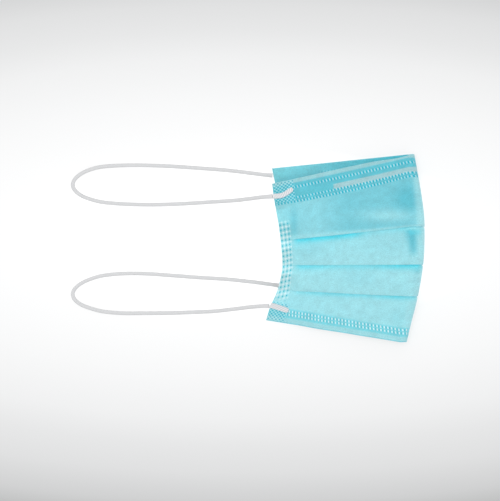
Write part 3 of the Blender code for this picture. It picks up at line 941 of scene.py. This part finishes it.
    def dress(self, piece: Object, grid: ClothGrid) -> None:
        """Store the places and masks that the cloth's material reads.

        Args:
            piece: The sheet, its outer skin's vertices first and then the inner skin's.
            grid: Where each vertex of a skin lies.
        """
        across, share, down, in_mm = grid.across, grid.share, grid.down, grid.in_mm
        hem_mm, up_mm = grid.hem_mm, grid.up_mm
        on_half, on_turn = 84, 12.0         # length along a hem over a half and round the fold, mm
        along = np.where(across < 1, across, np.where(across < 2, 1, across - 1)) * on_half
        along = along + np.clip(across - 1, 0, 1) * on_turn
        weld_in = in_mm - 1.6 * rise(down, 0.66, 0.86)
        flap = np.arange(grid.fall.shape[1])[None, :] < self.flap_rows
        inside = np.where(across > 1.5, 1.0, 0.0) * flap    # the far half's turned-in flap, seen from inside
        outside = 1 - inside

        # Painted shade below the pleats, in the wedge's top and inside the far half where the near half
        # shades it, and the darker blue over the bottom hem
        crevice_shade_and_hem, lip_highlight = self.pleat_shade_and_highlight(grid)
        wedge_top_shade = self.wedge(grid) * rise(grid.y, 8.2, 9.4)
        crevice_shade_and_hem = np.maximum(crevice_shade_and_hem, 0.6 * wedge_top_shade * (across < 1.5))
        crevice_shade_and_hem = np.maximum(crevice_shade_and_hem, inside * (0.35 + 0.65 * rise(share, 0.5, 0.95)))
        crevice_shade_and_hem = np.maximum(crevice_shade_and_hem, 0.55 * band(up_mm, 3.4, 8.8, 0.5))

        # The hems' blue: the top hem below its pale edge, the bottom hem, and the bottom edge itself
        hem = band(hem_mm, 2.4, 15.6, 0.3) + 0.25 * band(up_mm, 3.2, 8.8, 0.4)
        hem = hem + 0.8 * (1 - rise(up_mm, 0.3, 0.8))
        # Inside the far half the hem's blue grows towards the fold: painted shade from the near half over it
        hem = np.where(inside > 0, 0.3 * rise(share, 0.2, 0.9), hem)
        # Pale: the top edge, the bottom edge's band, painted highlights on the pleats' top edges, and a line
        # on the far half's inside
        pale = (1 - rise(hem_mm, 2.3, 2.9)) * outside + 0.2 * band(up_mm, 0.7, 3.1, 0.3)
        mark = band(in_mm, 5.2, 11.6, 0.4) * band(grid.fall / MM, 6.5, 7.5, 0.2)
        pale = pale + 0.45 * lip_highlight + inside * mark

        # Welds: dots under the elastics' ends at the hems' corners, dots down the side, dashes elsewhere
        top_knurl = band(hem_mm, 0.6, 14.4, 0.3)
        bottom_knurl = band(up_mm, 0.8, 11.5, 0.3) * (in_mm < 11.5)
        knurl = band(in_mm, 0.4, 13.6, 0.3) * outside * (top_knurl + bottom_knurl)
        side = (1 - rise(weld_in, 6.9, 7.3)) * band(down, 0.285, 0.84, 0.02)
        dashes = (1 - np.clip(knurl, 0, 1)) * (1 - inside * (1 - 0.3 * band(in_mm, 30, 44, 3.0)))
        attributes = {
            "place": (along, hem_mm, up_mm),
            "weave": (weld_in + along - share * on_half, grid.fall / MM, grid.travelled),
            "dye_and_shade": (self.shade_and_light_share(grid), crevice_shade_and_hem, np.zeros_like(crevice_shade_and_hem)),
            "hem": (np.clip(hem, 0, 1), self.strip_mask(grid, 0.3) * outside, np.clip(pale, 0, 1)),
            "weld": (side, knurl, dashes),
        }
        for name, parts in attributes.items():
            values = np.stack(parts, axis=-1).reshape(-1, 3)
            other = values.copy()
            if name == "dye_and_shade":
                other[:, 2] = 1.0       # the inner skin is the white ply
            give_attribute(piece, name, np.concatenate([values, other]))


@dataclass(frozen=True)
class ElasticBand:
    """A free round elastic: a knitted cord laid in a long narrow loop from a near corner to the far one."""

    name: str
    route: tuple
    diameter: float = 2.4 * MM
    end_width: float = 2.7 * MM
    end_thickness: float = 1.2 * MM
    rings: int = 860
    sides: int = 24
    neck: float = 5.0 * MM          # length over which the round cord goes flat at an end
    stitch_depth: float = 0.07      # share of the radius
    path_points: int = 40
    lying: float = 1.25             # height of its middle on the table, mm

    def build(self, finish: KnittedElastic) -> tuple[Object, list[Vector]]:
        """Build the cord as a tube with its stitches in relief.

        Args:
            finish: The knit, which also gives the size of a stitch.

        Returns:
            The piece and the points of its path.
        """
        points = [Vector((x, y, *(height or [self.lying]))) * MM for x, y, *height in self.route]
        line = smooth_route(points, self.rings)
        centre = np.array([tuple(p) for p in line])
        tangent = np.gradient(centre, axis=0)
        tangent /= np.linalg.norm(tangent, axis=1, keepdims=True)
        beside = np.cross(np.array([0.0, 0.0, 1.0]), tangent)
        beside /= np.linalg.norm(beside, axis=1, keepdims=True)
        above = np.cross(tangent, beside)
        total = route_length(line)
        along = np.linspace(0, total, self.rings)
        flat = 1 - rise(np.minimum(along, total - along), 0.0, self.neck)
        half_wide, half_high = (
            self.diameter / 2 + (size / 2 - self.diameter / 2) * flat
            for size in (self.end_width, self.end_thickness)
        )
        angle = np.linspace(0, 2 * math.pi, self.sides, endpoint=False)
        stitches = along / MM / finish.stitch
        # Each column of stitches leans to one side and the next to the other, like a plait
        column = angle / (2 * math.pi) * finish.wales
        lean = np.abs(((column[None, :]) % 2) - 1)
        knit = 0.5 + 0.5 * np.cos(2 * math.pi * (stitches[:, None] + lean))
        grow = 1 - self.stitch_depth * (1 - knit)
        ring = (
            centre[:, None, :]
            + beside[:, None, :] * (half_wide[:, None] * np.cos(angle) * grow)[..., None]
            + above[:, None, :] * (half_high[:, None] * np.sin(angle) * grow)[..., None]
        )
        points = np.concatenate([ring.reshape(-1, 3), centre[:1], centre[-1:]])
        piece = mesh_piece(self.name + "_cord", points, self.tube_faces(), finish.material())
        rib = np.stack(np.broadcast_arrays(stitches[:, None], column[None, :], knit), axis=-1).reshape(-1, 3)
        give_attribute(piece, "rib", np.concatenate([rib, [[0, 0, 0.5], [0, 0, 0.5]]]))
        stand_in(piece, self.name)
        return piece, line

    def tube_faces(self) -> list:
        """Return the faces of the tube and of the fans that close its ends."""
        at = np.arange(self.rings * self.sides).reshape(self.rings, self.sides)
        beside = np.roll(at, -1, axis=1)
        faces = np.stack([at[:-1], beside[:-1], beside[1:], at[1:]], axis=-1).reshape(-1, 4).tolist()
        for a, b, c, d in zip(*(ring.tolist() for ring in (at[0], beside[0], at[-1], beside[-1]))):
            faces += [(at.size, b, a), (at.size + 1, c, d)]
        return faces


@dataclass(frozen=True)
class WeldedEnd:
    """One end of an elastic, pressed flat on the cloth by the weld, which leaves slanting ribs in it."""

    name: str
    half: Half
    overhang: float                     # how far it reaches beyond the cloth's edge to its cord, mm
    route: tuple                        # rows of mm in from the side edge and down from the nearer hem
    width: float = 2.7 * MM
    thickness: float = 1.0 * MM
    clearance: float = 0.1 * MM         # above the cloth
    long_cells: int = 46
    wide_cells: int = 13
    rib_run: float = 12.5               # length of the end, mm
    rib_pitch: float = 1.75             # mm
    rib_depth: float = 0.13 * MM
    overhang_share: float = 0.02        # share of the route that the overhang takes up
    tip_start: float = 0.86             # share of the route where the inner end starts to narrow

    def lay(
        self, surface: FoldedSurface, long_share: Array, wide_share: Array, offset: Array
    ) -> Array:
        """Lay points of the flat blank along the route on the cloth.

        Args:
            surface: The middle surface that the cloth lies on.
            long_share: 0 to 1 along the route, and below 0 on the overhang.
            wide_share: -1 to 1 across it.
            offset: Distance out from the middle surface.

        Returns:
            The points, one row each.
        """
        line = smooth_route([Vector((a, b, 0)) for a, b in self.route], 60)
        route = np.array([tuple(p)[:2] for p in line])
        away = np.linspace(0, 1, len(route))
        beyond = np.minimum(long_share, 0) / self.overhang_share * self.overhang
        inward = np.interp(long_share, away, route[:, 0]) + beyond
        fall = np.interp(long_share, away, route[:, 1])
        slope = np.gradient(route, axis=0)
        slope /= np.linalg.norm(slope, axis=1, keepdims=True)
        beside = np.stack([-slope[:, 1], slope[:, 0]], axis=-1)
        half = wide_share * self.width / 2 / MM
        inward = (inward + np.interp(long_share, away, beside[:, 0]) * half) * MM
        fall = (fall + np.interp(long_share, away, beside[:, 1]) * half) * MM
        share = np.clip(inward, 0, None) / surface.half_length
        across = share if self.half is Half.NEAR else 3 - share
        if self.route[0][1] < 0:
            fall = fall + surface.height_at(across)
        points = surface.place(across, fall, offset)
        points[:, 0] += np.minimum(inward, 0)
        return points

    def build(self, surface: FoldedSurface, finish: KnittedElastic) -> Object:
        """Lay a flat blank on the cloth with its inner end rounded, give it thickness, and rib it."""
        bpy.ops.object.select_all(action="DESELECT")
        bpy.ops.mesh.primitive_grid_add(
            x_subdivisions=self.long_cells, y_subdivisions=self.wide_cells, size=2, location=(0, 0, 0)
        )
        piece = bpy.context.object
        piece.name = self.name + "_weld"
        flat = np.array([tuple(v.co) for v in piece.data.vertices])
        long_share, wide_share = flat[:, 0] / 2 + 0.5, flat[:, 1]
        tip = np.clip((long_share - self.tip_start) / (1 - self.tip_start), 0, 1)
        wide_share = wide_share * np.sqrt(1 - 0.75 * tip ** 2)
        solid = piece.modifiers.new("thickness", "SOLIDIFY")
        solid.thickness = self.thickness
        solid.offset = 1.0
        long_share = long_share * (1 + self.overhang_share) - self.overhang_share
        low = np.full(len(flat), surface.wall / 2 + self.clearance)
        placed = self.lay(surface, long_share, wide_share, low)
        piece.data.vertices.foreach_set("co", placed.astype(np.float32).ravel())
        piece.data.update()
        if (piece.data.polygons[0].normal.z > 0) != (self.half is Half.NEAR):
            bpy.ops.object.mode_set(mode="EDIT")
            bpy.ops.mesh.select_all(action="SELECT")
            bpy.ops.mesh.flip_normals()
            bpy.ops.object.mode_set(mode="OBJECT")
        bpy.ops.object.modifier_apply(modifier="thickness")
        self.rib(piece, placed)
        piece.data.materials.append(finish.material())
        bpy.ops.object.shade_smooth_by_angle(angle=math.radians(50))
        stand_in(piece, self.name)
        return piece

    def rib(self, piece: Object, placed: Array) -> None:
        """Press slanting ribs into the outer face and store them for the material, which paints shade into
        their troughs.

        Args:
            piece: The end, with its thickness.
            placed: Points of the blank before it had its thickness.
        """
        count = len(placed)
        spots = np.array([tuple(v.co) for v in piece.data.vertices])
        columns = self.long_cells + 1
        index = np.arange(count)
        long_mm = (index % columns) / self.long_cells * self.rib_run
        wide_mm = (index // columns) / self.wide_cells * self.width / MM
        ribs = np.cos(2 * math.pi * (long_mm + wide_mm) / self.rib_pitch)
        # The ribs are faint in the side weld and full beyond it
        ribs = ribs * (0.35 + 0.65 * rise(long_mm, 3.5, 6.0))
        knit = np.full(len(spots), 0.8)
        outer = max(
            (slice(0, count), slice(count, 2 * count)), key=lambda face: np.abs(spots[face] - placed).sum()
        )
        away = spots[outer] - placed
        away /= np.linalg.norm(away, axis=1, keepdims=True)
        spots[outer] += away * ((ribs - 1) * self.rib_depth / 2)[:, None]
        knit[outer] = 0.6 + 0.4 * ribs
        piece.data.vertices.foreach_set("co", spots.astype(np.float32).ravel())
        piece.data.update()
        give_attribute(piece, "rib", np.stack([spots[:, 0] / MM, spots[:, 1] / MM, knit], axis=-1))


@dataclass
class Studio:
    """White light table, a tent of soft light, and the camera straight above the folded mask."""

    camera_x: float = -0.0574
    camera_y: float = -0.0015
    camera_height: float = 1.5
    frame_width: float = 0.302
    subject_height: float = 0.010
    sensor: float = 36.0
    table_size: float = 3.0
    tent: str = "#fbfdff"
    tent_strength: float = 0.78
    # Rows of a lamp's name, place, aim, size and watts
    lamps: tuple = (
        ("soft_box_overhead", (-0.30, 0.16, 1.2), (-0.02, 0, 0), 0.6, 5.4),
        ("soft_box_right", (0.75, -0.15, 0.6), (0.0, 0, 0), 0.5, 0.7),
    )

    def place_camera(self) -> None:
        """Put a long-lens camera straight above, with the mask's top upwards in the picture."""
        data = bpy.data.cameras.new("camera")
        data.sensor_width = self.sensor
        data.lens = self.sensor * (self.camera_height - self.subject_height) / self.frame_width
        data.clip_end = 20
        camera = add_object("camera", data)
        camera.location = (self.camera_x, self.camera_y, self.camera_height)
        bpy.context.scene.camera = camera

    def lay_floor(self) -> None:
        """Lay the light table that the mask lies on."""
        bpy.ops.object.select_all(action="DESELECT")
        bpy.ops.mesh.primitive_grid_add(
            x_subdivisions=8, y_subdivisions=8, size=self.table_size, location=(0, 0, 0)
        )
        floor = bpy.context.object
        floor.name = "light_table"
        floor.data.materials.append(LightTable().material())

    def hang_light(self, name: str, place: tuple, aim: tuple, size: float, watts: float) -> None:
        """Hang a square soft light and aim it."""
        data = bpy.data.lights.new(name, "AREA")
        data.shape = "SQUARE"
        data.size = size
        data.energy = watts
        lamp = add_object(name, data)
        lamp.location = place
        lamp.rotation_euler = (Vector(aim) - Vector(place)).to_track_quat("-Z", "Y").to_euler()

    def light(self) -> None:
        """Light the scene: a white tent all round, a soft box overhead and a weak one at the right."""
        world = bpy.data.worlds.new("tent")
        world.use_nodes = True
        background = world.node_tree.nodes["Background"]
        background.inputs["Color"].default_value = linear(self.tent)
        background.inputs["Strength"].default_value = self.tent_strength
        bpy.context.scene.world = world
        for lamp in self.lamps:
            self.hang_light(*lamp)
        bpy.context.scene.view_settings.view_transform = "Standard"


# Ways of the two elastics, mm; a point without a height lies on the table
UPPER_ROUTE = (
    (-43.8, 31.1, 11.9), (-50.0, 30.7, 9.5), (-57.0, 29.9, 5.7), (-66.0, 28.9, 2.2),
    (-78.0, 28.1), (-92.0, 27.2), (-106.0, 26.5), (-120.0, 26.3),
    (-134.0, 26.7), (-146.0, 27.7), (-153.5, 29.4), (-159.6, 31.8),
    (-163.6, 35.0), (-164.9, 38.6), (-163.2, 42.2), (-159.2, 45.4),
    (-153.0, 48.0), (-146.0, 49.4), (-134.0, 50.1), (-120.0, 50.1),
    (-104.0, 49.5), (-88.0, 48.4), (-72.0, 47.2), (-58.0, 45.6),
    (-49.5, 44.5), (-43.75, 44.0),
)
LOWER_ROUTE = (
    (-46.0, -34.9, 10.5), (-52.5, -35.2, 8.0), (-59.0, -35.9, 4.6), (-68.0, -37.1, 1.8),
    (-80.0, -38.4), (-92.0, -38.9), (-106.0, -39.4), (-120.0, -39.5),
    (-134.0, -39.5), (-146.0, -38.5), (-153.5, -36.7), (-159.6, -34.4),
    (-163.6, -31.3), (-164.9, -27.8), (-163.3, -24.3), (-159.4, -21.2),
    (-153.5, -18.6), (-146.0, -16.6), (-134.0, -15.5), (-120.0, -15.6),
    (-104.0, -16.7), (-88.0, -17.9), (-72.0, -18.9), (-58.0, -20.3),
    (-48.0, -21.6), (-39.45, -22.8),
)
WELDED_ENDS = (
    WeldedEnd("upper_end_near", Half.NEAR, 0.36, ((0.0, 8.0), (5.2, 8.5), (8.6, 7.6), (12.6, 6.0))),
    WeldedEnd("upper_end_far", Half.FAR, 0.1, ((0.0, 4.3), (4.0, 4.6), (8.0, 5.4), (12.0, 6.8))),
    WeldedEnd("lower_end_near", Half.NEAR, 0.4, ((0.0, -9.4), (4.0, -9.1), (8.0, -8.6), (12.4, -8.0))),
    WeldedEnd("lower_end_far", Half.FAR, 0.0, ((0.0, -11.0), (4.0, -10.6), (8.0, -9.9), (12.0, -9.0))),
)


def main() -> None:
    """Build the pieces in order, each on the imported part's own frame."""
    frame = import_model()
    studio = Studio()
    studio.place_camera()
    knit = KnittedElastic()
    for elastic in (ElasticBand("upper_band", UPPER_ROUTE), ElasticBand("lower_band", LOWER_ROUTE)):
        piece, line = elastic.build(knit)
        LOG.info("%s: %.1f mm, %d faces", piece.name, route_length(line) / MM, len(piece.data.polygons))
    surface = FoldedSurface()
    cloth = MaskCloth(surface).build()
    stand_in(cloth, "mask_body")
    LOG.info("%s: %d faces", cloth.name, len(cloth.data.polygons))
    # Painted shade in the troughs of the pressed ribs
    pressed = KnittedElastic(thread="#efe9ea", groove_shade="#a9b8bc")
    for end in WELDED_ENDS:
        piece = end.build(surface, pressed)
        LOG.info("%s: %d faces", piece.name, len(piece.data.polygons))
    strip = frame["nodes"]["nose_strip"]
    strip.data.materials.clear()
    strip.data.materials.append(StripPlastic().material())
    LOG.info("%s: sealed in the top hem", strip.name)
    studio.lay_floor()
    studio.light()


if __name__ == "__main__":
    logging.basicConfig(level=logging.INFO, format="%(message)s")
    main()
